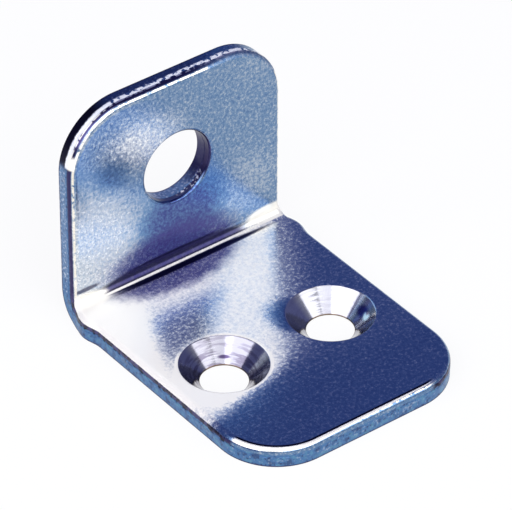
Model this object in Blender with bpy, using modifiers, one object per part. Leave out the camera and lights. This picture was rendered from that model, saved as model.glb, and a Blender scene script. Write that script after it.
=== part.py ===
"""Corner bracket: one blank punched from steel sheet, pierced and bent once to a right angle.

All sizes are in metres. The base lies flat on z = 0 and the flange stands at its back, on +Y.
The origin is under the middle of the bracket, and everything is symmetric about x = 0.
"""

import math

import bmesh
import bpy

# Sheet and bend
SHEET = 0.0025
INNER_BEND_RADIUS = 0.0014
BEND_STEPS = 8
BEND_ANGLE = math.pi / 2

# Base plate, its length taken from the flange's back face to the front edge
BASE_WIDTH = 0.0300
BASE_LENGTH = 0.0378
BASE_CORNER_RADIUS = 0.0075

# Flange, its height taken from the underside of the base to the top edge
FLANGE_WIDTH = 0.0292
FLANGE_HEIGHT = 0.0273
FLANGE_CORNER_RADIUS = 0.0076

# The sheet widens along the bend from the flange to the base, and the bending squeezes a small
# ear out of each side, its middle a little past the bend
EAR_OFFSET = 0.0013
EAR_LENGTH = 0.0052
EAR_SWELL = 0.00045
EAR_STEPS = 10

# Punched edge: rolled on the inner face, square on the outer one
EDGE_ROLL = 0.0008
EDGE_ROLL_STEPS = 4
CORNER_STEPS = 12

# Bolt hole through the flange
BOLT_HOLE_DIAMETER = 0.0091
BOLT_HOLE_HEIGHT = 0.0154
BOLT_HOLE_ROLL = 0.00035

# Two countersunk screw holes through the base, side by side
SCREW_HOLE_DIAMETER = 0.0055
COUNTERSINK_DIAMETER = 0.0103
COUNTERSINK_ANGLE = math.radians(90)
COUNTERSINK_ROLL = 0.0004
SCREW_HOLE_SPACING = 0.0150
SCREW_HOLE_SETBACK = 0.0209

# Turned cutters
CUTTER_SIDES = 64
ROLL_STEPS = 4
CUTTER_MARGIN = 0.0010
ROLL_OVERSHOOT = 0.00002

# Faces that turn less than FLAT_ANGLE are one face, an edge above RIM_ANGLE is the punched rim,
# and one above SHARP_ANGLE is shaded sharp
MERGE_DISTANCE = 0.000001
FLAT_ANGLE = math.radians(1)
RIM_ANGLE = math.radians(45)
SHARP_ANGLE = math.radians(30)
ROUND_PROFILE = 0.5

# Bright zinc plate
ZINC_COLOUR = (0.56, 0.61, 0.70, 1.0)
ZINC_METALLIC = 1.0
ZINC_ROUGHNESS = 0.28

# Places that follow from the sizes
BACK_Y = BASE_LENGTH / 2
FRONT_Y = BACK_Y - BASE_LENGTH
BEND_CENTRE_Y = BACK_Y - SHEET - INNER_BEND_RADIUS
BEND_CENTRE_Z = SHEET + INNER_BEND_RADIUS
BEND_LENGTH = BEND_ANGLE * (INNER_BEND_RADIUS + SHEET / 2)
FLANGE_REACH = FLANGE_HEIGHT - BEND_CENTRE_Z
BASE_REACH = BEND_CENTRE_Y - FRONT_Y


def clear_scene():
    """Remove every object that the new file starts with."""
    for old in list(bpy.data.objects):
        bpy.data.objects.remove(old, do_unlink=True)


def new_collection(name):
    """Make a collection under the scene and return it."""
    made = bpy.data.collections.new(name)
    bpy.context.scene.collection.children.link(made)
    return made


def zinc_plate():
    """Bright blue-white zinc on steel."""
    made = bpy.data.materials.new("bright_zinc")
    made.use_nodes = True
    shader = made.node_tree.nodes["Principled BSDF"]
    shader.inputs["Base Color"].default_value = ZINC_COLOUR
    shader.inputs["Metallic"].default_value = ZINC_METALLIC
    shader.inputs["Roughness"].default_value = ZINC_ROUGHNESS
    return made


def arc(centre_x, centre_y, radius, start, end, steps):
    """Points of an arc, both ends included; angles in degrees."""
    points = []
    for step in range(steps + 1):
        angle = math.radians(start + (end - start) * step / steps)
        points.append((centre_x + radius * math.cos(angle), centre_y + radius * math.sin(angle)))
    return points


def smooth_step(share):
    """Rise from 0 to 1 with no corner at either end."""
    held = min(max(share, 0.0), 1.0)
    return held * held * (3 - 2 * held)


def half_width(along):
    """Half the blank's width; along runs from the flange (negative) over the bend to the base."""
    widening = smooth_step(along / BEND_LENGTH) * (BASE_WIDTH - FLANGE_WIDTH) / 2
    from_middle = min(abs(along - BEND_LENGTH - EAR_OFFSET) / (EAR_LENGTH / 2), 1.0)
    swell = EAR_SWELL * math.cos(math.pi / 2 * from_middle) ** 2
    return FLANGE_WIDTH / 2 + widening + swell


def bend_stations():
    """Lengths along the blank at which the bend turns, its two ends included."""
    return [BEND_LENGTH * step / BEND_STEPS for step in range(BEND_STEPS + 1)]


def right_side():
    """The blank's right side along the bend and its ear, without the round corners."""
    beyond = EAR_OFFSET + EAR_LENGTH / 2
    stations = bend_stations()
    stations += [BEND_LENGTH + beyond * step / EAR_STEPS for step in range(1, EAR_STEPS + 1)]
    return [(half_width(along), -along) for along in stations]


def blank_outline():
    """Flat outline of the blank, clockwise from the top left of the flange.

    The flange points up the page from y = 0 and the base down it, past the bend's length.
    """
    top = FLANGE_REACH - FLANGE_CORNER_RADIUS
    top_side = FLANGE_WIDTH / 2 - FLANGE_CORNER_RADIUS
    low = -BEND_LENGTH - BASE_REACH + BASE_CORNER_RADIUS
    low_side = BASE_WIDTH / 2 - BASE_CORNER_RADIUS
    side = right_side()
    points = arc(-top_side, top, FLANGE_CORNER_RADIUS, 180, 90, CORNER_STEPS)
    points += arc(top_side, top, FLANGE_CORNER_RADIUS, 90, 0, CORNER_STEPS)
    points += side
    points += arc(low_side, low, BASE_CORNER_RADIUS, 0, -90, CORNER_STEPS)
    points += arc(-low_side, low, BASE_CORNER_RADIUS, -90, -180, CORNER_STEPS)
    points += [(-x, y) for x, y in reversed(side)]
    return points


def curve_plate(name, outline, thickness):
    """Fill a flat outline, give it its thickness and return it as a welded mesh."""
    data = bpy.data.curves.new(name, "CURVE")
    data.dimensions = "2D"
    data.fill_mode = "BOTH"
    data.extrude = thickness / 2
    spline = data.splines.new("POLY")
    spline.points.add(len(outline) - 1)
    for point, (x, y) in zip(spline.points, outline):
        point.co = (x, y, 0.0, 1.0)
    spline.use_cyclic_u = True
    flat = bpy.data.objects.new(name, data)
    bpy.context.scene.collection.objects.link(flat)
    seen = flat.evaluated_get(bpy.context.evaluated_depsgraph_get())
    mesh = bpy.data.meshes.new_from_object(seen)
    bpy.data.objects.remove(flat, do_unlink=True)
    return mesh


def punched_blank():
    """The flat blank as an edit mesh, inner face up at z = 0 and outer face at z = -SHEET."""
    mesh = curve_plate("blank", blank_outline(), SHEET)
    flat = bmesh.new()
    flat.from_mesh(mesh)
    bpy.data.meshes.remove(mesh)
    bmesh.ops.remove_doubles(flat, verts=flat.verts, dist=MERGE_DISTANCE)
    bmesh.ops.translate(flat, verts=flat.verts, vec=(0.0, 0.0, -SHEET / 2))
    bmesh.ops.recalc_face_normals(flat, faces=flat.faces)
    bmesh.ops.dissolve_limit(flat, angle_limit=FLAT_ANGLE, verts=flat.verts, edges=flat.edges)
    return flat


def roll_inner_edge(flat):
    """Round the whole rim of the inner face, as the punch leaves it."""
    rim = []
    for edge in flat.edges:
        level = all(abs(corner.co.z) < MERGE_DISTANCE for corner in edge.verts)
        if level and edge.calc_face_angle(0.0) > RIM_ANGLE:
            rim.append(edge)
    bmesh.ops.bevel(flat, geom=rim, offset=EDGE_ROLL, offset_type="OFFSET", affect="EDGES",
                    segments=EDGE_ROLL_STEPS, profile=ROUND_PROFILE, clamp_overlap=False)


def score_bend(flat):
    """Cut the blank across at each step of the bend, so that it can turn there."""
    for along in bend_stations():
        everything = list(flat.verts) + list(flat.edges) + list(flat.faces)
        bmesh.ops.bisect_plane(flat, geom=everything, dist=MERGE_DISTANCE,
                               plane_co=(0.0, -along, 0.0), plane_no=(0.0, 1.0, 0.0))


def bent_place(x, y, z):
    """Where a point of the flat blank goes when the sheet is bent."""
    along = -y
    depth = -z
    if along <= 0.0:
        return x, BACK_Y - SHEET + depth, BEND_CENTRE_Z - along
    if along >= BEND_LENGTH:
        return x, BEND_CENTRE_Y - (along - BEND_LENGTH), SHEET - depth
    angle = BEND_ANGLE * along / BEND_LENGTH
    radius = INNER_BEND_RADIUS + depth
    place_y = BEND_CENTRE_Y + radius * math.cos(angle)
    place_z = BEND_CENTRE_Z - radius * math.sin(angle)
    return x, place_y, place_z


def bend(flat):
    """Turn the flange up from the base around the bend's centre line."""
    for corner in flat.verts:
        corner.co = bent_place(*corner.co)
    bmesh.ops.recalc_face_normals(flat, faces=flat.faces)


def turned_cutter(name, profile, collection):
    """Turn a profile of (radius, height) points, listed top to bottom, about Z."""
    mesh = bpy.data.meshes.new(name)
    lathe = bmesh.new()
    corners = [lathe.verts.new((radius, 0.0, height)) for radius, height in profile]
    for upper, lower in zip(corners, corners[1:]):
        lathe.edges.new((upper, lower))
    lathe.to_mesh(mesh)
    lathe.free()
    cutter = bpy.data.objects.new(name, mesh)
    collection.objects.link(cutter)
    turn = cutter.modifiers.new("turn", "SCREW")
    turn.angle = math.tau
    turn.steps = CUTTER_SIDES
    turn.render_steps = CUTTER_SIDES
    turn.use_merge_vertices = True
    turn.merge_threshold = MERGE_DISTANCE
    cutter.hide_render = True
    cutter.display_type = "WIRE"
    return cutter


def rolled_mouth(radius, roll, wall_angle):
    """Profile of a hole's rolled mouth, from above the face at height 0 down onto the wall.

    The wall leaves the face at wall_angle from the hole's axis, and would meet it at radius.
    """
    turn = math.pi / 2 - wall_angle
    set_back = roll * math.tan(turn / 2)
    centre_x = radius + set_back
    points = [(centre_x, CUTTER_MARGIN), (centre_x, ROLL_OVERSHOOT)]
    for step in range(1, ROLL_STEPS + 1):
        angle = math.pi / 2 + turn * step / ROLL_STEPS
        points.append((centre_x + roll * math.cos(angle), roll * math.sin(angle) - roll))
    return points


def bolt_hole_profile():
    """Straight hole with a rolled mouth; height 0 is the flange's inner face."""
    radius = BOLT_HOLE_DIAMETER / 2
    floor = -SHEET - CUTTER_MARGIN
    mouth = rolled_mouth(radius, BOLT_HOLE_ROLL, 0.0)
    return [(0.0, CUTTER_MARGIN)] + mouth + [(radius, floor), (0.0, floor)]


def screw_hole_profile():
    """Countersink over a straight screw hole; height 0 is the base's inner face."""
    wide = COUNTERSINK_DIAMETER / 2
    narrow = SCREW_HOLE_DIAMETER / 2
    depth = (wide - narrow) / math.tan(COUNTERSINK_ANGLE / 2)
    floor = -max(SHEET, depth) - CUTTER_MARGIN
    mouth = rolled_mouth(wide, COUNTERSINK_ROLL, COUNTERSINK_ANGLE / 2)
    return [(0.0, CUTTER_MARGIN)] + mouth + [(narrow, -depth), (narrow, floor), (0.0, floor)]


def cut(body, cutter):
    """Take the cutter's shape out of the body."""
    removal = body.modifiers.new(cutter.name, "BOOLEAN")
    removal.operation = "DIFFERENCE"
    removal.solver = "EXACT"
    removal.object = cutter


def bent_body(collection):
    """The bent sheet before its holes are cut."""
    flat = punched_blank()
    roll_inner_edge(flat)
    score_bend(flat)
    bend(flat)
    mesh = bpy.data.meshes.new("bracket")
    flat.to_mesh(mesh)
    flat.free()
    body = bpy.data.objects.new("bracket", mesh)
    collection.objects.link(body)
    body.data.materials.append(zinc_plate())
    return body


def cut_bolt_hole(body, collection):
    """Cut the flange's bolt hole from its inner face to its back."""
    cutter = turned_cutter("bolt_hole_cutter", bolt_hole_profile(), collection)
    cutter.location = (0.0, BACK_Y - SHEET, BOLT_HOLE_HEIGHT)
    cutter.rotation_euler = (math.pi / 2, 0.0, 0.0)
    cut(body, cutter)


def cut_screw_holes(body, collection):
    """Cut the two countersunk holes side by side in the base."""
    for side, name in ((-1, "left"), (1, "right")):
        cutter = turned_cutter(f"screw_hole_cutter_{name}", screw_hole_profile(), collection)
        cutter.location = (side * SCREW_HOLE_SPACING / 2, BACK_Y - SCREW_HOLE_SETBACK, SHEET)
        cut(body, cutter)


def shade(body):
    """Keep the cut shape as the bracket's own mesh, with its rounds smooth and its edges sharp."""
    seen = body.evaluated_get(bpy.context.evaluated_depsgraph_get())
    solid = bpy.data.meshes.new_from_object(seen)
    body.modifiers.clear()
    body.data = solid
    solid.shade_smooth()
    solid.set_sharp_from_angle(angle=SHARP_ANGLE)


def main():
    """Build the bracket."""
    clear_scene()
    parts = new_collection("corner_bracket")
    cutters = new_collection("cutters")
    body = bent_body(parts)
    cut_bolt_hole(body, cutters)
    cut_screw_holes(body, cutters)
    shade(body)


main()
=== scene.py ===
"""Corner bracket: its looks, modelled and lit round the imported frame.

The axes are the frame's own: +X across the bracket along the fold, +Y to the flange's back, +Z
up the flange. The bracket is worked in millimetres and set in the frame in metres when it is
done. The sheet is first a flat blank that stands upright, with its inner face to the front (-Y),
its flange up and its base down, and the bend's upper end at z = 0. It is bent only when its edge
and its holes are finished.
"""

import logging
import math
from collections.abc import Callable
from dataclasses import dataclass, field
from enum import Enum
from functools import cached_property, reduce

import bmesh
import bpy
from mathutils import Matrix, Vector


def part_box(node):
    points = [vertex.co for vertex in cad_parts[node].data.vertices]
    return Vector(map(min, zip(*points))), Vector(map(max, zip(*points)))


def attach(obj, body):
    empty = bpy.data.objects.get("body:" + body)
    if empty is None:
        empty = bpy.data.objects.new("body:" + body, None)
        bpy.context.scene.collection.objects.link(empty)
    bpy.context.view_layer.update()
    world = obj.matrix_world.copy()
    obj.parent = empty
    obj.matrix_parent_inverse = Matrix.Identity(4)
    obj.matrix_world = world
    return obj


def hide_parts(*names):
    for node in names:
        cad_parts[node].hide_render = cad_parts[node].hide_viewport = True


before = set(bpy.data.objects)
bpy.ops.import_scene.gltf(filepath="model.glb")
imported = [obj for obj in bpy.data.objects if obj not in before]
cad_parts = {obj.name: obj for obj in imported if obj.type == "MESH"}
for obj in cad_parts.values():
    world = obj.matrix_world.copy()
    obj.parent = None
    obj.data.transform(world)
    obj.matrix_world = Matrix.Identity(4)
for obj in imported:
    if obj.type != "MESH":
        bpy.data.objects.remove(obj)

LOG = logging.getLogger("corner_bracket")

NODE = "bracket"
BODY = "root"

MILLIMETRE = 0.001

# How near counts as touching, in millimetres
TOUCH = 0.002

# Sizes that the shape and the finishes share, in millimetres
SHEET_THICKNESS = 2.5
FOLD_RADIUS = 1.4
BOLT_HEIGHT = 15.4
SCREW_SPACING = 15.0
SCREW_SETBACK = 20.9

# Where the finishes find the flange's outer face and the fold's axis
BACK_Y = 18.9
FOLD_Z = FOLD_RADIUS + SHEET_THICKNESS
FOLD_Y = BACK_Y - FOLD_Z

Triple = tuple[float, float, float]
Colour = tuple[float, float, float, float]


class Element(Enum):
    """What is picked on a mesh: the name is the select mode, the value the list it is in."""

    VERT = "verts"
    EDGE = "edges"
    FACE = "faces"


class Surface(Enum):
    """The bracket's kinds of surface, each with the number of its material slot."""

    ROLLED = 0
    SHEARED = 1
    TURNED = 2


# Work on the bench, in millimetres


@dataclass
class Workpiece:
    """A mesh on the bench: parts of it are picked by their place and worked by operators."""

    thing: bpy.types.Object

    def hold(self) -> None:
        """Take this piece alone in hand, in object mode."""
        if bpy.context.mode != "OBJECT":
            bpy.ops.object.mode_set(mode="OBJECT")
        bpy.ops.object.select_all(action="DESELECT")
        bpy.context.view_layer.objects.active = self.thing
        self.thing.select_set(True)

    def edit(self) -> None:
        """Take this piece in hand, in edit mode."""
        self.hold()
        bpy.ops.object.mode_set(mode="EDIT")

    def pick(self, kind: Element, test: Callable[..., bool]) -> int:
        """Pick the corners, edges or faces that pass a test, and nothing else.

        Args:
            kind: Which elements are looked at.
            test: Says of one element whether it is picked.

        Returns:
            How many were picked.
        """
        bpy.ops.mesh.select_all(action="DESELECT")
        bpy.ops.mesh.select_mode(type=kind.name)
        shape = bmesh.from_edit_mesh(self.thing.data)
        found = [element for element in getattr(shape, kind.value) if test(element)]
        for element in found:
            element.select_set(True)
        shape.select_flush_mode()
        bmesh.update_edit_mesh(self.thing.data)
        return len(found)

    def pick_all(self) -> None:
        """Pick the whole mesh."""
        bpy.ops.mesh.select_all(action="SELECT")

    def score(self, height: float) -> None:
        """Cut what is picked across, level with a height."""
        bpy.ops.mesh.bisect(plane_co=(0.0, 0.0, height), plane_no=(0.0, 0.0, 1.0), threshold=TOUCH)

    def step_in(self, inward: float, forward: float) -> None:
        """Inset the picked faces and carry them forward along their normals."""
        bpy.ops.mesh.inset(thickness=inward, depth=forward, use_even_offset=True)

    def round_off(self, reach: float, steps: int, what: str = "EDGES") -> None:
        """Bevel the picked edges, or corners, round in a number of steps."""
        bpy.ops.mesh.bevel(offset=reach, segments=steps, profile=0.5, affect=what,
                           clamp_overlap=False)

    def fix(self, kind: str, **settings: object) -> None:
        """Add a modifier, set it and apply it.

        Args:
            kind: The modifier's type.
            settings: Its properties.
        """
        self.hold()
        modifier = self.thing.modifiers.new(kind.lower(), kind)
        for name, value in settings.items():
            setattr(modifier, name, value)
        bpy.ops.object.modifier_apply(modifier=modifier.name)

    def group(self, name: str) -> None:
        """Keep the picked corners as a named group.

        Args:
            name: The group's name.
        """
        shape = bmesh.from_edit_mesh(self.thing.data)
        picked = [corner.index for corner in shape.verts if corner.select]
        self.hold()
        self.thing.vertex_groups.new(name=name).add(picked, 1.0, "REPLACE")


def fresh_piece(name: str) -> Workpiece:
    """Name the primitive that was just added, with its place in its mesh.

    Args:
        name: The piece's name.

    Returns:
        The piece, in object mode.
    """
    piece = Workpiece(bpy.context.active_object)
    piece.thing.name = name
    piece.hold()
    bpy.ops.object.transform_apply(location=True, rotation=True, scale=True)
    return piece


# The bracket


@dataclass
class Sheet:
    """The steel sheet and its bend."""

    thickness: float = SHEET_THICKNESS
    inner_radius: float = FOLD_RADIUS
    angle: float = math.pi / 2
    steps: int = 24

    @property
    def bend_length(self) -> float:
        """Length of the bend along the middle of the sheet."""
        return self.angle * (self.inner_radius + self.thickness / 2)

    @property
    def outer_radius(self) -> float:
        """Radius of the bend's outer face."""
        return self.inner_radius + self.thickness

    @property
    def front(self) -> float:
        """Y of the blank's inner face."""
        return -self.thickness / 2

    @property
    def back(self) -> float:
        """Y of the blank's outer face."""
        return self.thickness / 2


@dataclass
class Outline:
    """The blank's outline, seen from the front."""

    flange_width: float = 29.2
    base_width: float = 30.0
    flange_corner: float = 7.6
    base_corner: float = 7.5
    ear_offset: float = 1.3
    ear_length: float = 5.2
    ear_swell: float = 0.45
    corner_steps: int = 24
    ear_steps: int = 10
    side_steps: int = 40


@dataclass
class Edge:
    """The sheared edge: rolled over at the front, burnished, then torn back to the outer face."""

    roll: float = 0.8
    roll_steps: int = 9
    burnish: float = 0.6
    tear_step: float = 0.03
    tear_wander: float = 0.22
    tear_grain: float = 0.9
    tear_layers: int = 2
    back_round: float = 0.05
    seam: float = 0.2
    wall_lean: float = 0.7


@dataclass
class Holes:
    """The bolt hole and the two countersunk screw holes."""

    bolt_diameter: float = 9.1
    bolt_height: float = BOLT_HEIGHT
    bolt_roll: float = 0.35
    bolt_steps: int = 6
    screw_diameter: float = 5.5
    sink_diameter: float = 10.3
    sink_half_angle: float = math.radians(45)
    sink_roll: float = 0.4
    sink_steps: int = 5
    spacing: float = SCREW_SPACING
    setback: float = SCREW_SETBACK
    back_round: float = 0.05
    back_steps: int = 2
    sides: int = 96
    margin: float = 1.0


@dataclass
class Bracket:
    """The bent bracket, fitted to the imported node's box, whose corners are in millimetres."""

    low: Vector
    high: Vector
    sheet: Sheet = field(default_factory=Sheet)
    outline: Outline = field(default_factory=Outline)
    edge: Edge = field(default_factory=Edge)
    holes: Holes = field(default_factory=Holes)
    smooth_angle: float = math.radians(35)
    flat_weight: int = 60

    @property
    def bend_height(self) -> float:
        """Height of the bend's centre line, at which the flange begins."""
        return self.low.z + self.sheet.outer_radius

    @property
    def middle(self) -> float:
        """Y of the middle of the flange's thickness."""
        return self.high.y - self.sheet.thickness / 2

    @property
    def top(self) -> float:
        """Z of the flange's top edge on the blank."""
        return self.high.z - self.bend_height

    @property
    def bottom(self) -> float:
        """Z of the base's front edge on the blank."""
        reach = self.high.y - self.sheet.outer_radius - self.low.y
        return -self.sheet.bend_length - reach

    @property
    def wall_front(self) -> float:
        """Y at which the rolled edge meets the burnished wall."""
        return self.sheet.front + self.edge.roll

    @property
    def tear_line(self) -> float:
        """Y at which the burnished wall ends and the torn one begins."""
        return self.wall_front + self.edge.burnish

    @property
    def bolt_centre(self) -> Vector:
        """The bolt hole's centre on the blank."""
        return Vector((0.0, 0.0, self.low.z + self.holes.bolt_height - self.bend_height))

    @property
    def screw_centres(self) -> list[Vector]:
        """The two screw holes' centres on the blank.

        Returns:
            The left one and the right one.
        """
        from_bend = self.holes.setback - self.sheet.outer_radius
        height = -self.sheet.bend_length - from_bend
        half = self.holes.spacing / 2
        return [Vector((-half, 0.0, height)), Vector((half, 0.0, height))]

    @property
    def sink_depth(self) -> float:
        """Depth of the countersink below the inner face."""
        wide = self.holes.sink_diameter / 2
        return (wide - self.holes.screw_diameter / 2) / math.tan(self.holes.sink_half_angle)

    def half_width(self, height: float) -> float:
        """Half the blank's width, which grows over the bend and swells into an ear below it.

        Args:
            height: Z on the blank.

        Returns:
            The distance from the middle to either side.
        """
        shape = self.outline
        along = -height
        length = self.sheet.bend_length
        share = min(max(along / length, 0.0), 1.0)
        widening = share * share * (3 - 2 * share) * (shape.base_width - shape.flange_width) / 2
        off = min(abs(along - length - shape.ear_offset) / (shape.ear_length / 2), 1.0)
        swell = shape.ear_swell * math.cos(math.pi / 2 * off) ** 2
        return shape.flange_width / 2 + widening + swell

    def rows(self) -> list[float]:
        """Heights at which the blank is scored, over the bend and down past the ears.

        Returns:
            The heights, from the top down.
        """
        shape = self.outline
        bend_end = -self.sheet.bend_length
        reach = shape.ear_offset + shape.ear_length / 2
        heights = [bend_end * step / self.sheet.steps for step in range(self.sheet.steps + 1)]
        heights += [bend_end - reach * step / shape.ear_steps
                    for step in range(1, shape.ear_steps + 1)]
        return heights

    def punch(self) -> Workpiece:
        """Lay out the blank as one thin face, scored into rows, with its sides and corners.

        Returns:
            The face, at the tear line and facing forwards.
        """
        width = self.outline.flange_width
        length = self.top - self.bottom
        bpy.ops.mesh.primitive_plane_add(size=1.0, rotation=(math.pi / 2, 0.0, 0.0),
                                         location=(0.0, self.tear_line, self.bottom + length / 2))
        bpy.context.active_object.scale = (width, length, 1.0)
        blank = fresh_piece("bracket_shell")
        blank.edit()
        for height in self.rows():
            blank.pick_all()
            blank.score(height)
        for height in [*self.rows(), self.bottom]:
            if height < 0.0:
                blank.pick(Element.VERT, lambda corner: abs(corner.co.z - height) < TOUCH)
                bpy.ops.transform.resize(value=(self.half_width(height) / (width / 2), 1.0, 1.0),
                                         center_override=(0.0, self.tear_line, height))
        for height, radius in ((self.top, self.outline.flange_corner),
                               (self.bottom, self.outline.base_corner)):
            blank.pick(Element.VERT, lambda corner: abs(corner.co.z - height) < TOUCH)
            blank.round_off(radius, self.outline.corner_steps, "VERTICES")
        blank.pick(Element.EDGE, lambda side: side.is_boundary and side.calc_length() > radius)
        bpy.ops.mesh.subdivide(number_cuts=self.outline.side_steps, ngon=True)
        blank.pick_all()
        bpy.ops.mesh.remove_doubles(threshold=TOUCH)
        return blank

    def form_edge(self, blank: Workpiece) -> None:
        """Give the blank its thickness, ring by ring, as shearing leaves its edge.

        Args:
            blank: The thin face at the tear line.
        """
        edge = self.edge
        blank.edit()
        blank.pick_all()
        bpy.ops.mesh.extrude_region_move(
            TRANSFORM_OT_translate={"value": (0.0, -edge.burnish, 0.0)})
        for step in range(edge.roll_steps):
            turned = math.pi / 2 * step / edge.roll_steps
            turning = math.pi / 2 * (step + 1) / edge.roll_steps
            blank.step_in(edge.roll * (math.cos(turned) - math.cos(turning)),
                          edge.roll * (math.sin(turning) - math.sin(turned)))
        blank.step_in(edge.seam, 0.0)
        blank.pick(Element.FACE, lambda face: all(abs(corner.co.y - self.tear_line) < TOUCH
                                                  for corner in face.verts))
        torn = self.sheet.back - edge.back_round - self.tear_line - edge.tear_step
        blank.step_in(edge.tear_step, edge.tear_step)
        blank.step_in(0.0, torn / 2)
        blank.step_in(0.0, torn / 2)
        blank.step_in(edge.back_round, edge.back_round)
        blank.step_in(edge.seam, 0.0)
        blank.pick_all()
        bpy.ops.mesh.normals_make_consistent(inside=False)

    def tear(self, blank: Workpiece) -> None:
        """Let the line between the burnished and the torn wall wander, as it does in steel.

        Args:
            blank: The blank with its edge formed.
        """
        start = self.tear_line - TOUCH
        end = self.tear_line + self.edge.tear_step + TOUCH
        blank.edit()
        blank.pick(Element.VERT, lambda corner: start < corner.co.y < end)
        blank.group("tear_line")
        clouds = bpy.data.textures.new("tear_wander", "CLOUDS")
        clouds.noise_scale = self.edge.tear_grain
        clouds.noise_depth = self.edge.tear_layers
        blank.fix("DISPLACE", texture=clouds, texture_coords="LOCAL", direction="Y",
                  vertex_group="tear_line", strength=2 * self.edge.tear_wander, mid_level=0.5)

    def bore(self, blank: Workpiece, drill: Workpiece) -> None:
        """Take a drill's shape out of the blank and put the drill away."""
        blank.fix("BOOLEAN", operation="DIFFERENCE", solver="EXACT", object=drill.thing)
        bpy.data.objects.remove(drill.thing, do_unlink=True)

    def straight_drill(self, centre: Vector, diameter: float) -> Workpiece:
        """A straight drill through the sheet.

        Args:
            centre: Where its axis crosses the middle of the sheet.
            diameter: The hole's diameter.

        Returns:
            The drill.
        """
        length = self.sheet.thickness + 2 * self.holes.margin
        bpy.ops.mesh.primitive_cylinder_add(vertices=self.holes.sides, radius=diameter / 2,
                                            depth=length, location=centre,
                                            rotation=(math.pi / 2, 0.0, 0.0))
        return fresh_piece("straight_drill")

    def sink_drill(self, centre: Vector) -> Workpiece:
        """A countersink drill that reaches past the inner face.

        Args:
            centre: Where its axis crosses the middle of the sheet.

        Returns:
            The drill.
        """
        holes = self.holes
        narrow = holes.screw_diameter / 2
        slope = math.tan(holes.sink_half_angle)
        length = self.sink_depth + holes.margin
        tip = self.sheet.front + self.sink_depth
        middle = Vector((centre.x, tip - length / 2, centre.z))
        bpy.ops.mesh.primitive_cone_add(vertices=holes.sides, radius1=narrow,
                                        radius2=narrow + length * slope, depth=length,
                                        location=middle, rotation=(math.pi / 2, 0.0, 0.0))
        return fresh_piece("sink_drill")

    def round_mouth(self, blank: Workpiece, centre: Vector, radius: float, depth: float,
                    reach: float, steps: int) -> None:
        """Round the rim of a hole.

        Args:
            blank: The drilled blank.
            centre: The hole's centre.
            radius: The rim's radius.
            depth: The rim's Y.
            reach: How far the round goes along each face.
            steps: Facets of the round.
        """
        slack = 10 * TOUCH

        def on_rim(corner: bmesh.types.BMVert) -> bool:
            """Whether a corner lies on the rim."""
            off = math.hypot(corner.co.x - centre.x, corner.co.z - centre.z)
            return abs(off - radius) < slack and abs(corner.co.y - depth) < slack

        blank.edit()
        found = blank.pick(Element.EDGE, lambda side: all(on_rim(corner) for corner in side.verts))
        LOG.info("rim of %d edges, radius %.2f mm", found, radius)
        blank.round_off(reach, steps)

    def drill(self, blank: Workpiece) -> None:
        """Make the three holes and round their mouths.

        Args:
            blank: The blank with its edge finished.
        """
        holes = self.holes
        self.bore(blank, self.straight_drill(self.bolt_centre, holes.bolt_diameter))
        for centre in self.screw_centres:
            self.bore(blank, self.straight_drill(centre, holes.screw_diameter))
            self.bore(blank, self.sink_drill(centre))
        bolt = holes.bolt_diameter / 2
        self.round_mouth(blank, self.bolt_centre, bolt, self.sheet.front, holes.bolt_roll,
                         holes.bolt_steps)
        self.round_mouth(blank, self.bolt_centre, bolt, self.sheet.back, holes.back_round,
                         holes.back_steps)
        wide = holes.sink_diameter / 2
        reach = holes.sink_roll * math.tan((math.pi / 2 - holes.sink_half_angle) / 2)
        for centre in self.screw_centres:
            self.round_mouth(blank, centre, wide, self.sheet.front, reach, holes.sink_steps)
            self.round_mouth(blank, centre, holes.screw_diameter / 2, self.sheet.back,
                             holes.back_round / 2, holes.back_steps)

    def surface_of(self, face: bmesh.types.BMFace) -> Surface:
        """Which kind of surface a face of the blank is.

        Args:
            face: A face of the finished blank.

        Returns:
            Its kind.
        """
        middle = face.calc_center_median()
        for centre in self.screw_centres:
            off = math.hypot(middle.x - centre.x, middle.z - centre.z)
            if off < self.holes.sink_diameter / 2 - TOUCH:
                return Surface.TURNED
        if middle.y > self.wall_front - TOUCH and abs(face.normal.y) < self.edge.wall_lean:
            return Surface.SHEARED
        return Surface.ROLLED

    def sort_surfaces(self, blank: Workpiece) -> None:
        """Give each face the material slot of its kind of surface.

        Args:
            blank: The finished blank.
        """
        blank.edit()
        shape = bmesh.from_edit_mesh(blank.thing.data)
        for face in shape.faces:
            face.material_index = self.surface_of(face).value
        bmesh.update_edit_mesh(blank.thing.data)

    def bend(self, blank: Workpiece) -> None:
        """Turn the base forwards round the bend and set the bracket in its place.

        Args:
            blank: The finished blank.
        """
        length = self.top - self.bottom
        start = (-self.sheet.bend_length - self.bottom) / length
        end = -self.bottom / length
        blank.fix("SIMPLE_DEFORM", deform_method="BEND", deform_axis="X",
                  angle=-self.sheet.angle, limits=(start, end))
        blank.hold()
        blank.thing.location = MILLIMETRE * Vector((0.0, self.middle, self.bend_height))
        blank.thing.scale = (MILLIMETRE, MILLIMETRE, MILLIMETRE)
        bpy.ops.object.transform_apply(location=True, rotation=True, scale=True)

    def smooth(self, piece: Workpiece) -> None:
        """Shade the rounds smooth and keep the flats flat.

        Args:
            piece: The bent bracket.
        """
        piece.hold()
        bpy.ops.object.shade_smooth_by_angle(angle=self.smooth_angle)
        piece.fix("WEIGHTED_NORMAL", mode="FACE_AREA", weight=self.flat_weight, keep_sharp=True)

    def build(self) -> bpy.types.Object:
        """Make the bracket's mesh.

        Returns:
            The finished object, at the origin.
        """
        blank = self.punch()
        self.form_edge(blank)
        self.tear(blank)
        self.drill(blank)
        self.sort_surfaces(blank)
        self.bend(blank)
        self.smooth(blank)
        return blank.thing


# Finishes


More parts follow.
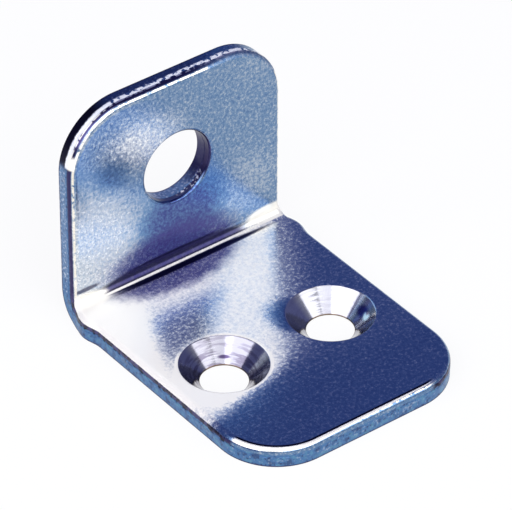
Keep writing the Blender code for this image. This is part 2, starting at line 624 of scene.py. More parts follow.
class Value:
    """A shader socket that takes part in Python expressions through Math nodes."""

    def __init__(self, bench: "NodeBench", socket: bpy.types.NodeSocket) -> None:
        """Wrap an output socket that carries a number."""
        self.bench = bench
        self.socket = socket

    def __add__(self, other: "Value | float") -> "Value":
        """Sum."""
        return self.bench.math("ADD", self, other)

    __radd__ = __add__

    def __sub__(self, other: "Value | float") -> "Value":
        """Difference."""
        return self.bench.math("SUBTRACT", self, other)

    def __rsub__(self, other: "Value | float") -> "Value":
        """Difference, from the other side."""
        return self.bench.math("SUBTRACT", other, self)

    def __mul__(self, other: "Value | float") -> "Value":
        """Product."""
        return self.bench.math("MULTIPLY", self, other)

    __rmul__ = __mul__

    def held(self) -> "Value":
        """This value, kept between 0 and 1."""
        return Value(self.bench, self.bench.node("ShaderNodeClamp", Value=self).outputs[0])

    def towards(self, goal: "Value", share: "Value") -> "Value":
        """This value, moved a share of the way to another."""
        return self + share * (goal - self)


@dataclass(frozen=True)
class Spot:
    """A soft ellipsoid on the bracket: full up to a core share of its half axes, then fading."""

    centre: Triple
    radii: Triple
    core: float


@dataclass(frozen=True)
class Slant:
    """A slanted line on the base: a point on it, and the way that leads off it."""

    x: float
    y: float
    way_x: float
    way_y: float

    def off(self, x: Value, y: Value) -> Value:
        """How far a point lies off the line."""
        return (x - self.x) * self.way_x + (y - self.y) * self.way_y


class NodeBench:
    """A node tree that is made anew, with one method that makes any node."""

    def __init__(self, owner: bpy.types.Material | bpy.types.World) -> None:
        """Start an empty tree.

        Args:
            owner: The material or world whose tree it is.
        """
        self.owner = owner
        self.owner.use_nodes = True
        self.tree = self.owner.node_tree
        self.tree.nodes.clear()

    def node(self, kind: str, settings: dict[str, object] | None = None,
             **inputs: object) -> bpy.types.Node:
        """Make a node, set its properties and then its sockets.

        Args:
            kind: The node's type.
            settings: Its own properties, such as a Math node's operation.
            inputs: A plain value, a Value or an output socket for each input, by its name with
                underscores for spaces, or by its number after an underscore.

        Returns:
            The node.
        """
        made = self.tree.nodes.new(kind)
        for name, setting in (settings or {}).items():
            setattr(made, name, setting)
        for name, given in inputs.items():
            socket = made.inputs[int(name[1:]) if name[0] == "_" else name.replace("_", " ")]
            if isinstance(given, Value):
                self.tree.links.new(given.socket, socket)
            elif isinstance(given, bpy.types.NodeSocket):
                self.tree.links.new(given, socket)
            else:
                socket.default_value = given
        return made

    def math(self, operation: str, *terms: Value | float) -> Value:
        """Add a Math node.

        Args:
            operation: What it does.
            terms: Its inputs.

        Returns:
            Its result.
        """
        inputs = {f"_{place}": term for place, term in enumerate(terms)}
        made = self.node("ShaderNodeMath", {"operation": operation}, **inputs)
        return Value(self, made.outputs[0])

    def vector(self, operation: str, **inputs: object) -> bpy.types.Node:
        """Add a Vector Math node."""
        return self.node("ShaderNodeVectorMath", {"operation": operation}, **inputs)

    def most(self, *values: Value | float) -> Value:
        """The greatest of several values."""
        return reduce(lambda first, other: self.math("MAXIMUM", first, other), values)

    def ramp(self, value: Value, low: float, high: float) -> Value:
        """Rise smoothly from 0 at low to 1 at high, which may lie below low."""
        made = self.node("ShaderNodeMapRange", {"interpolation_type": "SMOOTHSTEP"},
                         Value=value, From_Min=low, From_Max=high)
        return Value(self, made.outputs[0])

    def band(self, value: Value, rise: tuple[float, float], fall: tuple[float, float]) -> Value:
        """Rise from 0 to 1 over one stretch and fall back to 0 over the next."""
        return self.ramp(value, *rise) * self.ramp(value, fall[1], fall[0])

    def place(self) -> bpy.types.NodeSocket:
        """The point's own coordinates on the object, in millimetres."""
        read = self.node("ShaderNodeTexCoord").outputs["Object"]
        return self.vector("SCALE", _0=read, Scale=1 / MILLIMETRE).outputs[0]

    def ragged(self, size: float, reach: float) -> bpy.types.NodeSocket:
        """The point's coordinates, shifted by noise so that what is drawn with them frays.

        Args:
            size: The noise's grain.
            reach: How far a point is shifted at most.

        Returns:
            The shifted coordinates.
        """
        here = self.place()
        painted_dark = self.node("ShaderNodeTexNoise", Vector=here, Scale=1 / size, Detail=2.0)
        middle = self.vector("SUBTRACT", _0=painted_dark.outputs["Color"], _1=(0.5, 0.5, 0.5))
        shift = self.vector("SCALE", _0=middle.outputs[0], Scale=2 * reach)
        return self.vector("ADD", _0=here, _1=shift.outputs[0]).outputs[0]

    def split(self, place: bpy.types.NodeSocket) -> tuple[Value, Value, Value]:
        """A place's three coordinates, one by one."""
        made = self.node("ShaderNodeSeparateXYZ", _0=place)
        return tuple(Value(self, output) for output in made.outputs)

    def noise(self, size: float, detail: float = 2.0, stretch: Triple = (1.0, 1.0, 1.0),
              offset: Triple = (0.0, 0.0, 0.0), harsh: float = 0.5) -> Value:
        """Noise with a given size of grain.

        Args:
            size: The grain's size.
            detail: How many finer layers it has.
            stretch: Scales the coordinates along each axis.
            offset: Moves the coordinates.
            harsh: How strong the finer layers are.

        Returns:
            The noise, about 0.5.
        """
        moved = self.node("ShaderNodeMapping", Vector=self.place(), Scale=stretch, Location=offset)
        made = self.node("ShaderNodeTexNoise", Vector=moved.outputs[0], Scale=1 / size,
                         Detail=detail, Roughness=harsh)
        return Value(self, made.outputs["Fac"])

    def blot(self, place: bpy.types.NodeSocket, spot: Spot) -> Value:
        """Draw a spot.

        Args:
            place: The coordinates that are read.
            spot: Where it is and how far it reaches.

        Returns:
            1 in its core and 0 outside.
        """
        away = self.vector("SUBTRACT", _0=place, _1=spot.centre)
        share = self.vector("DIVIDE", _0=away.outputs[0], _1=spot.radii)
        off = self.vector("LENGTH", _0=share.outputs[0])
        return self.ramp(Value(self, off.outputs["Value"]), 1.0, spot.core)

    def mix(self, share: Value, first: object, second: object) -> bpy.types.NodeSocket:
        """Blend two colours, or colour sockets, by the share of the second."""
        made = self.node("ShaderNodeMix", {"data_type": "RGBA"}, _0=share, _6=first, _7=second)
        return made.outputs[2]


class Coat:
    """A finish in the making: its colour, laid on in layers, and where the point lies.

    Each place, such as low or front, is 1 there and fades to 0 elsewhere.
    """

    def __init__(self, name: str, colour: Colour) -> None:
        """Start with one plain colour.

        Args:
            name: The material's name.
            colour: The lowest layer.
        """
        self.bench = NodeBench(bpy.data.materials.new(name))
        self.colour: Colour | bpy.types.NodeSocket = colour
        self.here = self.bench.place()
        self.x, self.y, self.z = self.bench.split(self.here)

    @cached_property
    def depth(self) -> Value:
        """How deep the point is in the sheet.

        Returns:
            The distance from the inner face, along the flats and round the bend.
        """
        back = self.bench.most(self.y - FOLD_Y, 0.0)
        down = self.bench.most(FOLD_Z - self.z, 0.0)
        return self.bench.math("SQRT", back * back + down * down) - FOLD_RADIUS

    @cached_property
    def inner(self) -> Value:
        """On the inner half of the sheet."""
        return self.bench.ramp(self.depth, 1.3, 1.1)

    @cached_property
    def low(self) -> Value:
        """On the base and its edge."""
        return self.bench.ramp(self.z, 3.2, 2.6)

    @cached_property
    def front(self) -> Value:
        """On the base's front edge, up to where its right corner starts."""
        reach = self.bench.ramp(self.x, 9.5, 8.0)
        return self.low * self.bench.ramp(self.y, -12.6, -13.2) * reach

    @cached_property
    def sides(self) -> Value:
        """On the rest of the base's edge."""
        return self.low * (1.0 - self.front)

    @cached_property
    def upper(self) -> Value:
        """On the flange's top edge and its round corners."""
        return self.bench.ramp(self.z, 20.8, 21.1)

    @cached_property
    def bore_side(self) -> Value:
        """How far the point lies to the right and up from the bolt hole's centre."""
        return self.x + 0.6 * (self.z - BOLT_HEIGHT)

    def lay(self, share: Value, colour: Colour) -> None:
        """Lay a colour over the rest, as far as a share."""
        self.colour = self.bench.mix(share, self.colour, colour)

    def finish(self, metallic: Value, roughness: Value | float,
               **relief: float | Value) -> bpy.types.Material:
        """Close the material with its gloss and relief.

        Args:
            metallic: How metallic it is.
            roughness: How rough it is.
            relief: The Bump node's sockets.

        Returns:
            The material.
        """
        bump = self.bench.node("ShaderNodeBump", **relief)
        shader = self.bench.node("ShaderNodeBsdfPrincipled", Base_Color=self.colour,
                                 Metallic=metallic, Roughness=roughness, Normal=bump.outputs[0])
        self.bench.node("ShaderNodeOutputMaterial", Surface=shader.outputs[0])
        return self.bench.owner


@dataclass(frozen=True)
class ZincPlate:
    """Bright blue zinc on the rolled faces: cloudy, from navy through steel blue to cream, with
    painted reflections, highlights and shade.

    A tone from 0 to 1 picks the colour. The bloom is how milky and how little metallic it is.
    """

    navy: Colour = (0.050, 0.062, 0.22, 1.0)
    steel: Colour = (0.135, 0.245, 0.42, 1.0)
    pale: Colour = (0.60, 0.64, 0.69, 1.0)
    # Cream: the colour of the painted reflections and painted highlights
    cream: Colour = (0.91, 0.87, 0.77, 1.0)
    # Dark streaks along the fold, partly tool streaks and partly painted shade in the crease
    fold_stain_and_shade: Colour = (0.064, 0.060, 0.215, 1.0)
    # Painted shade in the fold's fillet, also used for a dark spot near its left end
    fold_shade: Colour = (0.024, 0.022, 0.075, 1.0)
    # Painted shade on the rolled edges and on the bolt hole's rim at the right
    edge_shade: Colour = (0.045, 0.040, 0.12, 1.0)
    # Painted shade lines on the rolled edges
    edge_shade_line: Colour = (0.014, 0.012, 0.035, 1.0)
    roughness: float = 0.21
    grain: float = 0.42
    grain_height: float = 0.016
    # Painted reflections on the flange: lighter spots above the bolt hole, at its lower corners
    # and along the top, darker ones left of the hole and below it
    halo: Spot = Spot((-4.5, 16.4, 20.6), (8.0, 4.0, 5.0), 0.1)
    left_dim_reflection: Spot = Spot((-8.8, 16.4, 18.2), (3.6, 4.0, 3.2), 0.1)
    left_gleam: Spot = Spot((-12.0, 16.4, 9.0), (9.0, 4.0, 11.0), 0.35)
    right_gleam: Spot = Spot((9.8, 16.4, 9.0), (6.2, 4.0, 6.0), 0.2)
    corner_gleam: Spot = Spot((11.0, 16.4, 25.0), (5.0, 4.0, 4.0), 0.1)
    low_dim_reflection: Spot = Spot((0.5, 16.4, 8.5), (7.5, 4.0, 5.5), 0.4)
    top_gleam: Spot = Spot((-9.0, 16.4, 23.6), (8.0, 4.0, 5.0), 0.2)
    # The base's painted light: a painted reflection lighting its left side, and the bolt hole's
    # painted reflection
    light_edge: Slant = Slant(-2.0, -5.5, -0.832, 0.555)
    front_edge: Slant = Slant(-10.0, 0.0, -0.25, 1.0)
    reflection_edge: Slant = Slant(-13.9, 0.0, 1.0, -0.446)
    bolt_reflection_edge: Slant = Slant(-2.5, 6.3, 0.683, -0.730)
    front_reflection: Spot = Spot((-10.5, -3.6, 2.5), (5.6, 5.4, 3.0), 0.7)
    # Painted shade beside the right screw hole, on its left
    painted_hole_shade: Spot = Spot((3.5, 0.5, 2.5), (3.7, 4.3, 3.0), 0.25)
    mouth_way: tuple[float, float] = (0.61, 0.79)
    # The fold: dark streaks partly painted shade, a painted highlight on the ridge and at the
    # ends, painted shade in the fillet and a dark spot
    streaks_above: Spot = Spot((-0.4, 16.4, 3.7), (10.4, 3.0, 5.0), 0.55)
    streaks_below: Spot = Spot((-1.5, 16.0, 2.5), (11.0, 5.2, 3.0), 0.6)
    left_end: Spot = Spot((-14.0, 15.6, 3.0), (4.4, 1.3, 1.2), 0.7)
    right_end: Spot = Spot((12.8, 16.0, 3.5), (4.0, 0.9, 1.2), 0.7)
    ridge: Spot = Spot((0.0, 15.70, 2.69), (60.0, 0.23, 0.23), 0.4)
    hollow: Spot = Spot((-1.0, 15.9, 3.1), (11.5, 1.3, 1.3), 0.8)
    undercut: Spot = Spot((1.5, 15.15, 2.55), (12.8, 0.48, 0.5), 0.6)
    dark_spot: Spot = Spot((-13.0, 16.4, 4.1), (2.4, 0.5, 0.4), 0.5)
    bolt_mouth: Spot = Spot((0.0, 17.0, BOLT_HEIGHT), (5.4, 4.0, 5.4), 0.93)

    def flange_tone(self, bench: NodeBench, place: bpy.types.NodeSocket) -> Value:
        """How light the plate is on the flange, with painted reflections that lighten and darken
        it in spots.

        Args:
            bench: The material's node bench.
            place: The coordinates that are read.

        Returns:
            The tone, about 0 to 1.
        """
        tone = 0.40
        for spot, lift in ((self.halo, 0.36), (self.left_dim_reflection, -0.23), (self.left_gleam, 0.26),
                           (self.right_gleam, 0.11), (self.corner_gleam, 0.04),
                           (self.low_dim_reflection, -0.34), (self.top_gleam, 0.17)):
            tone = tone + lift * bench.blot(place, spot)
        return tone

    def base_tone(self, bench: NodeBench, place: bpy.types.NodeSocket) -> Value:
        """How light the plate is on the base: lit at the left by a painted reflection, dim at the
        right, and darker where the bolt hole's reflection is painted.

        Args:
            bench: The material's node bench.
            place: The coordinates that are read.

        Returns:
            The tone, about 0 to 1.
        """
        x, y, _ = bench.split(place)
        side = self.light_edge.off(x, y)
        lit = bench.ramp(side, -1.4, 1.2) * bench.ramp(self.front_edge.off(x, y), -10.0, -6.9)
        inward = self.reflection_edge.off(x, y)
        outward = self.bolt_reflection_edge.off(x, y)
        # The bolt hole's painted reflection, a darker patch
        bolt_hole_reflection = bench.ramp(inward, -1.4, 2.4) * bench.ramp(outward, 2.2, -1.8)
        bolt_hole_reflection = bolt_hole_reflection * bench.band(y, (-1.0, 5.0), (7.5, 11.0))
        # The painted reflection, in cream, at the left and front left
        cream = bench.most(bench.ramp(inward, 1.6, -1.4), bench.blot(place, self.front_reflection))
        light = 0.93 + 0.20 * cream - 0.28 * bolt_hole_reflection
        dim = 0.40 + 0.30 * bench.ramp(side, -6.0, 0.0) * bench.ramp(y, -8.5, -4.0)
        # Painted shade beside the right screw hole, on its left
        painted_dark = bench.blot(place, self.painted_hole_shade)
        return dim.towards(light, lit) - 0.46 * painted_dark - 0.07 * bench.ramp(y, -7.0, -12.0)

    def mouth(self, coat: Coat) -> Value:
        """The painted highlight round the front of the left screw hole's mouth.

        Args:
            coat: The plate in the making.

        Returns:
            How much of it shows.
        """
        bench = coat.bench
        across = coat.x + SCREW_SPACING / 2
        along = coat.y - (BACK_Y - SCREW_SETBACK)
        off = bench.math("SQRT", across * across + along * along)
        way_x, way_y = self.mouth_way
        near = 0.30 + 0.70 * bench.ramp(way_x * across + way_y * along, 2.5, 0.5)
        return near * bench.ramp(off, 5.60, 5.35) * bench.ramp(coat.z, 2.2, 2.4)

    def tone(self, coat: Coat, speckle: Value) -> Value:
        """How light the plate is anywhere, with its grain and sparse painted glints on the base.

        Args:
            coat: The plate in the making.
            speckle: The grain.

        Returns:
            The tone, about 0 to 1.
        """
        bench = coat.bench
        frayed = bench.ragged(0.45, 0.9)
        on_flange = bench.ramp(coat.z, 2.4, 4.0) * bench.ramp(coat.y, 14.6, 15.6)
        tone = self.base_tone(bench, frayed).towards(self.flange_tone(bench, frayed), on_flange)
        held = tone.held()
        grain = 0.80 - 0.34 * held + on_flange * (0.34 + 0.34 * held)
        # Sparse painted glints on the base
        sparse_glints = bench.ramp(bench.noise(0.7, detail=1.0, offset=(3.0, 0.0, 0.0)), 0.72, 0.82)
        flecks = bench.ramp(speckle, 0.50, 0.64) * (1.0 - 0.8 * held)
        plain = 0.50 + 0.8 * (bench.noise(7.0) - 0.5)
        tone = tone.towards(plain, bench.ramp(coat.depth, 2.2, 2.4))
        # The painted highlight round the left screw hole's mouth
        tone = tone.towards(bench.most(tone + 0.3, 0.95), self.mouth(coat))
        tone = tone + grain * (speckle - 0.5) + 0.14 * (bench.noise(0.9) - 0.5)
        return tone + (1.0 - on_flange) * (0.18 * sparse_glints + 0.15 * flecks)

    def streaks(self, coat: Coat, speckle: Value) -> Value:
        """How much the dark streaks show on both sides of the fold: partly tool streaks and partly
        painted shade in the crease.

        Args:
            coat: The plate in the making.
            speckle: The grain, which breaks them up.

        Returns:
            Their strength.
        """
        bench = coat.bench
        frayed = bench.ragged(0.8, 0.8)
        smears = bench.noise(0.8, detail=3.0, stretch=(0.25, 1.0, 1.0))
        both = bench.most(bench.blot(frayed, self.streaks_above),
                          bench.blot(frayed, self.streaks_below) * 0.85)
        streak_strength = 0.74 + 0.6 * smears + 1.1 * (speckle - 0.5)
        thin = 1.0 - 0.36 * bench.ramp(speckle, 0.44, 0.60)
        return (both * streak_strength).held() * thin * coat.inner

    def mark_fold(self, coat: Coat, speckle: Value, bloom: Value) -> Value:
        """Lay over the plate the fold's dark streaks, a painted highlight on its ridge and at both
        ends, painted shade in its fillet and a dark spot near its left end.

        Args:
            coat: The plate in the making.
            speckle: The grain.
            bloom: How milky the plate is so far.

        Returns:
            How milky it is with them.
        """
        bench = coat.bench
        ridge, left, right, hollow, undercut, dark_spot = (
            bench.blot(coat.here, spot)
            for spot in (self.ridge, self.left_end, self.right_end, self.hollow, self.undercut,
                         self.dark_spot))
        # Painted highlight on the ridge and at both ends of the fold
        bright = bench.most(ridge, left, right)
        streaks = self.streaks(coat, speckle) * (1.0 - bright)
        # Painted shade in the fillet, and the dark spot near the left end
        fold_shade = bench.most(0.8 * dark_spot, bench.most(0.93 * hollow, undercut) * (1.0 - bright))
        coat.lay(streaks, self.fold_stain_and_shade)
        coat.lay(bright, self.cream)
        coat.lay(fold_shade, self.fold_shade)
        return bench.most(bloom * (1.0 - streaks), 0.8 * bright) * (1.0 - fold_shade)

    def mark_edge(self, coat: Coat, bloom: Value) -> tuple[Value, Value]:
        """Lay the rolled edge's painted shade bands and broken painted highlight lines over the
        plate.

        Args:
            coat: The plate in the making.
            bloom: How milky the plate is so far.

        Returns:
            How milky it is with them, and how dull.
        """
        bench, depth = coat.bench, coat.depth
        front, sides, upper = coat.front, coat.sides, coat.upper
        arc = upper * bench.ramp(coat.x, -7.5, -11.5)
        far = upper * bench.ramp(coat.x, 1.0, 7.5)
        dashes = bench.noise(0.7)
        bolt = bench.blot(coat.here, self.bolt_mouth)

        # Painted shade on the rolled edges, and on the bolt hole's rim at the right
        shade = bench.ramp(depth - 0.10 * sides, 0.30, 0.38) * (1.0 - front)
        mouth = bolt * bench.ramp(depth, 0.02, 0.08) * bench.ramp(coat.bore_side, 0.5, 3.0)
        shade = coat.inner * bench.most(shade, mouth) * (1.0 - 0.7 * far)
        verge = front * bench.band(depth, (0.001, 0.006), (0.04, 0.06))
        coat.lay(shade, self.edge_shade)
        coat.lay(shade * sides * bench.ramp(dashes, 0.46, 0.54), self.edge_shade_line)
        coat.lay(verge, self.edge_shade_line)

        # Broken painted highlight lines along the rolled edges, in cream
        line = bench.band(depth, (0.08, 0.13), (0.24, 0.30)) * (1.0 - bolt) * (1.0 - sides)
        line = line * bench.ramp(dashes - 0.30 * far, 0.36, 0.48)
        seam = upper * bench.ramp(depth, 0.56, 0.64) * bench.ramp(dashes + 0.10 * arc, 0.46, 0.54)
        start = upper * bench.ramp(depth, 0.12, 0.20) * bench.ramp(coat.z, 22.8, 22.2)
        narrowing = depth + 0.013 * (coat.x + 12.0)
        strip = front * bench.ramp(depth, 0.04, 0.07) * bench.ramp(narrowing, 0.40, 0.34)
        white = bench.most(line, seam, start * (1.0 - bolt), strip) * coat.inner
        coat.lay(white, self.cream)

        dull = upper * (1.0 - white) * bench.ramp(depth, 0.02, 0.08) * far
        return bench.most(bloom * (1.0 - verge), 0.8 * arc * white, 0.7 * strip), dull

    def material(self) -> bpy.types.Material:
        """Make the material.

        Returns:
            The plated faces' material.
        """
        coat = Coat("zinc_plate", self.navy)
        bench = coat.bench
        speckle = bench.noise(self.grain, detail=3.0, harsh=0.8)
        tone = self.tone(coat, speckle)
        # Navy through steel and pale to cream; the cream end holds the painted reflections
        coat.lay(bench.ramp(tone, -0.1, 0.40), self.steel)
        coat.lay(bench.ramp(tone, 0.30, 0.80), self.pale)
        coat.lay(bench.ramp(tone, 0.70, 1.05), self.cream)
        bloom = self.mark_fold(coat, speckle, bench.ramp(tone, 0.50, 1.05))
        bloom, dull = self.mark_edge(coat, bloom)
        rough = self.roughness + 0.14 * (speckle - 0.5) + 0.35 * dull
        return coat.finish(1.0 - 0.88 * bloom, rough, Strength=0.5,
                           Distance=self.grain_height * MILLIMETRE, Height=speckle)


@dataclass(frozen=True)
class ShearedSteel:
    """The cut edge under the same zinc: burnished at the front, torn at the back, with painted
    glints, highlights and shade.
    """

    blue: Colour = (0.09, 0.20, 0.41, 1.0)
    bright: Colour = (0.60, 0.68, 0.80, 1.0)
    teal: Colour = (0.13, 0.30, 0.46, 1.0)
    dark: Colour = (0.035, 0.028, 0.09, 1.0)
    white: Colour = (0.86, 0.87, 0.88, 1.0)
    black: Colour = (0.010, 0.009, 0.025, 1.0)
    roughness: float = 0.34
    tear_depth: float = 1.10
    fleck_height: float = 0.02
    lip_height: float = 0.08
    bolt_wall: Spot = Spot((0.0, 17.6, BOLT_HEIGHT), (5.2, 4.0, 5.2), 0.93)
    # Painted glints low on the right of the bolt hole's wall
    glint_spot: Spot = Spot((2.4, 17.2, 11.6), (2.6, 0.55, 2.2), 0.6)

    def mottle(self, coat: Coat, flecks: Value, clouds: Value) -> None:
        """Lay painted glints and dark flecks over the blue, and clouds over the base's edge.

        Args:
            coat: The edge in the making.
            flecks: Fine noise.
            clouds: Coarse noise.
        """
        bench = coat.bench
        middle = bench.band(coat.depth, (0.9, 1.4), (1.8, 2.2))
        glint = 0.7 - 0.55 * coat.sides - 0.3 * coat.front
        # Painted glints
        coat.lay(bench.ramp(flecks + 0.06 * middle, 0.62, 0.74) * glint, self.bright)
        coat.lay(bench.ramp(flecks, 0.42, 0.30) * 0.7, self.dark)
        coat.lay(coat.low * bench.ramp(clouds, 0.52, 0.66) * 0.7, self.teal)
        coat.lay(coat.low * bench.ramp(clouds, 0.48, 0.34) * 0.5, self.dark)

    def line(self, coat: Coat, flecks: Value, clouds: Value) -> Value:
        """Lay painted shade lines along the edge and the broken painted highlight round the
        flange's top.

        Args:
            coat: The edge in the making.
            flecks: Fine noise, which roughens the lines.
            clouds: Coarse noise.

        Returns:
            How much of the painted highlight shows.
        """
        bench, depth, upper = coat.bench, coat.depth, coat.upper
        dash_noise = bench.noise(0.7)
        arc = upper * bench.ramp(coat.x, -7.5, -10.5)
        far = bench.ramp(coat.x, 2.0, 8.0)

        # Painted shade lines along the edge's borders
        front_line = bench.ramp(depth + 0.25 * (flecks - 0.5), 1.0, 0.85) * (1.0 - coat.front)
        back_line = bench.ramp(depth, 2.22, 2.40)
        flank = bench.ramp(coat.z, 4.0, 7.0) * (1.0 - upper) * bench.ramp(depth, 1.0, 1.3)
        coat.lay(bench.most(front_line, back_line) * 0.85, self.dark)
        coat.lay(flank * (0.08 + 0.30 * bench.ramp(flecks, 0.5, 0.62)), self.bright)
        # Painted shade on the torn wall of the flange's top edge
        coat.lay(upper * bench.ramp(depth, 1.1, 1.6) * (0.55 - 0.45 * far), self.dark)
        coat.lay(upper * far * bench.ramp(clouds, 0.40, 0.60) * 0.6, self.teal)

        # Painted dark outline round the painted highlight at the top left, and painted shade
        # dashes on the base's sides
        outline = bench.ramp(coat.z, 20.2, 21.6) * bench.ramp(coat.x, -7.5, -10.5)
        dark_dash_shade = coat.sides * bench.ramp(dash_noise, 0.50, 0.58)
        dark_dash_shade = dark_dash_shade * bench.ramp(depth + 0.3 * (flecks - 0.5), 1.15, 0.95)
        top_highlight_line = bench.ramp(dash_noise + 0.4 * arc, 0.42, 0.51) * upper
        top_highlight_line = top_highlight_line * bench.ramp(depth + 0.4 * (flecks - 0.5), 1.50, 1.30)
        coat.lay(bench.most(outline, dark_dash_shade), self.black)
        coat.lay(top_highlight_line, self.white)
        return top_highlight_line

    def bore(self, coat: Coat, flecks: Value) -> Value:
        """Paint shade on the bolt hole's wall, darker at the right, and painted glints low on the
        right.

        Args:
            coat: The edge in the making.
            flecks: Fine noise.

        Returns:
            How much of its lighter side shows.
        """
        bench = coat.bench
        wall = bench.blot(coat.here, self.bolt_wall)
        shade = bench.ramp(coat.bore_side, -1.5, 2.5)
        bore_glints = bench.blot(coat.here, self.glint_spot) * bench.ramp(flecks, 0.54, 0.62)
        coat.lay(wall * (0.15 + 0.80 * shade), self.dark)
        coat.lay(wall * bore_glints, self.white)
        return wall * (1.0 - shade)

    def material(self) -> bpy.types.Material:
        """Make the material.

        Returns:
            The cut edge's material.
        """
        coat = Coat("sheared_edge", self.blue)
        bench = coat.bench
        flecks = bench.noise(0.34)
        clouds = bench.noise(0.9, detail=3.0, offset=(5.0, 0.0, 0.0))
        self.mottle(coat, flecks, clouds)
        top_highlight_line = self.line(coat, flecks, clouds)
        matt = bench.most(0.6 * self.bore(coat, flecks), 0.7 * top_highlight_line)
        torn = coat.depth - self.tear_depth + 0.8 * (bench.noise(1.1, detail=3.0) - 0.5)
        lip = bench.ramp(torn, -0.12, 0.10)
        relief = self.fleck_height * flecks + self.lip_height * lip
        return coat.finish(1.0 - matt, self.roughness, Strength=0.8, Distance=MILLIMETRE,
                           Height=relief)


@dataclass(frozen=True)
class TurnedSteel:
    """The countersinks, turned and then plated with the sheet, with painted reflections and a
    painted glint.
    """

    pale: Colour = (0.42, 0.42, 0.46, 1.0)
    lilac: Colour = (0.14, 0.125, 0.18, 1.0)
    navy: Colour = (0.065, 0.065, 0.20, 1.0)
    plum: Colour = (0.060, 0.045, 0.10, 1.0)
    # Painted reflection at the bottom of the countersinks
    brown_reflection: Colour = (0.10, 0.06, 0.03, 1.0)
    cyan: Colour = (0.62, 0.88, 0.92, 1.0)
    roughness: float = 0.14
    ring_height: float = 0.02
    # Painted dark reflections on the countersinks' right walls, and a painted glint on the second
    left_dark_reflection: Spot = Spot((-5.46, 0.72, 0.75), (0.95, 0.95, 0.22), 0.45)
    right_dark_reflection: Spot = Spot((11.3, -2.8, 1.5), (0.95, 1.2, 0.95), 0.5)
    right_glint: Spot = Spot((11.1, -3.9, 1.4), (0.9, 0.9, 0.6), 0.3)

    def material(self) -> bpy.types.Material:
        """Make the material.

        Returns:
            The countersinks' material.
        """
        coat = Coat("turned_sink", self.pale)
        bench = coat.bench
        rings = bench.noise(0.26, stretch=(0.10, 0.10, 1.0))
        smears = bench.noise(1.0)
        lens, painted_dark, glint = (bench.blot(coat.here, spot)
                              for spot in (self.left_dark_reflection, self.right_dark_reflection, self.right_glint))
        arcs = bench.ramp(rings + 0.3 * (smears - 0.5), 0.46, 0.64)
        first = bench.ramp(coat.x, 2.0, -2.0)
        inner = 0.25 + first * (0.25 + 0.50 * bench.ramp(coat.depth, 0.4, 1.5))
        # Lilac rings from the turning, with painted shade that darkens the first countersink more
        # and deepens towards its bottom
        coat.lay(0.08 + 0.28 * first + 0.56 * arcs * inner, self.lilac)
        # Painted dark reflections and a painted glint
        coat.lay(lens, self.plum)
        coat.lay(painted_dark, self.navy)
        coat.lay(glint * bench.ramp(smears, 0.35, 0.50), self.cyan)
        coat.lay(bench.ramp(coat.depth, 2.28, 2.40), self.brown_reflection)
        return coat.finish(1.0 - 0.7 * glint, self.roughness, Strength=0.6,
                           Distance=self.ring_height * MILLIMETRE, Height=rings)


# The studio


@dataclass
class View:
    """The camera, at the photograph's viewing angle, placed in metres."""

    target: Triple = (7.35 * MILLIMETRE, 11.55 * MILLIMETRE, 2.5 * MILLIMETRE)
    distance: float = 0.52397
    azimuth: float = math.radians(37.59)
    elevation: float = math.radians(37.28)
    roll: float = math.radians(0.10)
    lens: float = 323.04
    sensor: float = 36.0

    def place(self) -> None:
        """Make the camera and use it."""
        level = math.cos(self.elevation)
        look = Vector((math.sin(self.azimuth) * level, math.cos(self.azimuth) * level,
                       -math.sin(self.elevation)))
        camera = bpy.data.objects.new("camera", bpy.data.cameras.new("camera"))
        camera.data.lens = self.lens
        camera.data.sensor_width = self.sensor
        camera.location = Vector(self.target) - self.distance * look
        camera.rotation_euler = look.to_track_quat("-Z", "Y").to_euler()
        camera.rotation_euler.rotate_axis("Z", self.roll)
        bpy.context.scene.collection.objects.link(camera)
        bpy.context.scene.camera = camera


@dataclass
class Softbox:
    """One flat lamp that looks at the bracket, sized in metres."""

    name: str
    towards: Triple
    width: float
    height: float
    radiance: float
    distance: float = 0.6

    def place(self, centre: Vector) -> None:
        """Hang the lamp.

        Args:
            centre: What it looks at.
        """
        way = Vector(self.towards).normalized()
        data = bpy.data.lights.new(self.name, "AREA")
        data.shape = "RECTANGLE"
        data.size = self.width
        data.size_y = self.height
        data.energy = self.radiance * math.pi * self.width * self.height
        lamp = bpy.data.objects.new(self.name, data)
        lamp.location = centre + way * self.distance
        lamp.rotation_euler = (-way).to_track_quat("-Z", "Y").to_euler()
        bpy.context.scene.collection.objects.link(lamp)


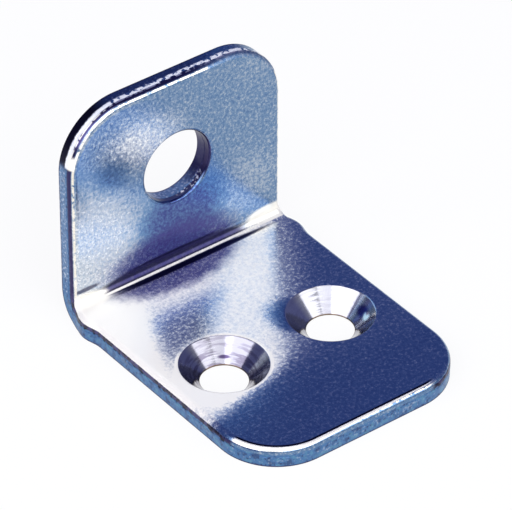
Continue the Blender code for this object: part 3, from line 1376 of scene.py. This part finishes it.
@dataclass
class Studio:
    """The floor, the lamps and the surrounding light, in metres."""

    floor_colour: Colour = (0.94, 0.935, 0.92, 1.0)
    floor_size: float = 6.0
    gap: float = 0.05 * MILLIMETRE
    floor_glow: float = 0.89
    lamp_aim: Triple = (0.0, 0.0, 0.01)
    front: Colour = (0.60, 0.62, 0.66, 1.0)
    back: Colour = (0.155, 0.172, 0.38, 1.0)
    lamps: list[Softbox] = field(default_factory=lambda: [
        Softbox("front", (0.11, -0.83, 0.54), 0.84, 0.30, 2.4),
        Softbox("left", (-0.77, -0.08, 0.63), 0.62, 0.46, 2.7),
        Softbox("top", (-0.24, -0.42, 0.87), 0.46, 0.46, 1.7),
    ])

    def build(self) -> None:
        """Make the floor, the lamps and the world."""
        bpy.ops.mesh.primitive_plane_add(size=self.floor_size, location=(0.0, 0.0, -self.gap))
        floor = bpy.context.active_object
        floor.name = "floor"
        floor.data.materials.append(self.floor_finish())
        for lamp in self.lamps:
            lamp.place(Vector(self.lamp_aim))
        bpy.context.scene.world = self.surround()
        bpy.context.scene.view_settings.view_transform = "Standard"

    def floor_finish(self) -> bpy.types.Material:
        """Matt white paper, lifted towards white where it is seen, with its shadows kept.

        Returns:
            The material.
        """
        bench = NodeBench(bpy.data.materials.new("floor"))
        rays = bench.node("ShaderNodeLightPath")
        seen = bench.most(*(Value(bench, rays.outputs[f"Is {kind} Ray"])
                            for kind in ("Camera", "Glossy", "Transmission")))
        paper = bench.node("ShaderNodeBsdfDiffuse", Color=self.floor_colour)
        white = bench.node("ShaderNodeEmission", Strength=1.0)
        both = bench.node("ShaderNodeMixShader", _0=seen * self.floor_glow,
                          _1=paper.outputs[0], _2=white.outputs[0])
        bench.node("ShaderNodeOutputMaterial", Surface=both.outputs[0])
        return bench.owner

    def surround(self) -> bpy.types.World:
        """The room: pale in front of the bracket and dark behind it.

        Returns:
            The world.
        """
        bench = NodeBench(bpy.data.worlds.new("surround"))
        _, y, _ = bench.split(bench.node("ShaderNodeTexCoord").outputs["Generated"])
        shade = bench.mix(bench.ramp(y, -0.25, -0.75), self.back, self.front)
        glow = bench.node("ShaderNodeBackground", Color=shade)
        bench.node("ShaderNodeOutputWorld", Surface=glow.outputs[0])
        return bench.owner


def main() -> None:
    """Build the bracket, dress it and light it."""
    logging.basicConfig(level=logging.INFO, format="%(name)s: %(message)s")
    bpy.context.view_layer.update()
    View().place()
    Studio().build()
    low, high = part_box(NODE)
    bracket = Bracket(low / MILLIMETRE, high / MILLIMETRE).build()
    for finish in (ZincPlate(), ShearedSteel(), TurnedSteel()):
        bracket.data.materials.append(finish.material())
    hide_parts(NODE)
    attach(bracket, BODY)
    LOG.info("%s: %d faces", bracket.name, len(bracket.data.polygons))


if __name__ == "__main__":
    main()
